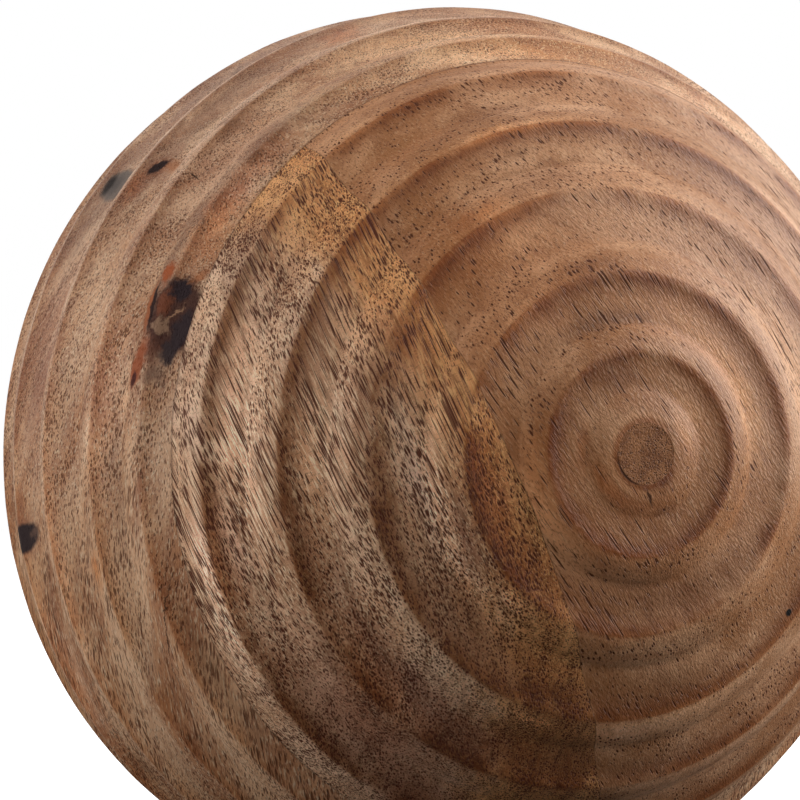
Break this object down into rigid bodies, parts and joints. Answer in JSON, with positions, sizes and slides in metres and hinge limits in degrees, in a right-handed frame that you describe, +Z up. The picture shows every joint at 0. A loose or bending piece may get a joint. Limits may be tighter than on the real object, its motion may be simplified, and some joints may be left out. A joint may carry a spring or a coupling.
{
  "type": "wooden ball",
  "caption": "Solid wooden ball glued up from boards and turned with shallow rings round one axis, a loose ornament for a bowl, tray or shelf.",
  "frame": {"origin": "centre of the ball, on its turning axis and midway between the poles", "axes": "+Y along the turning axis, from the front pole with the plug to the plain rear pole; +Z up; +X to the right when the front pole is seen"},
  "size_m": [0.102, 0.0949, 0.102],
  "materials": {
    "back_wood": "oiled, satin",
    "left_wood": "oiled, satin",
    "right_wood": "oiled, satin",
    "plug_wood": "end grain, matt"
  },
  "bodies": {
    "root": {"back_block": "back_wood", "left_board": "left_wood", "right_board": "right_wood", "pole_plug": "plug_wood"}
  },
  "joints": []
}
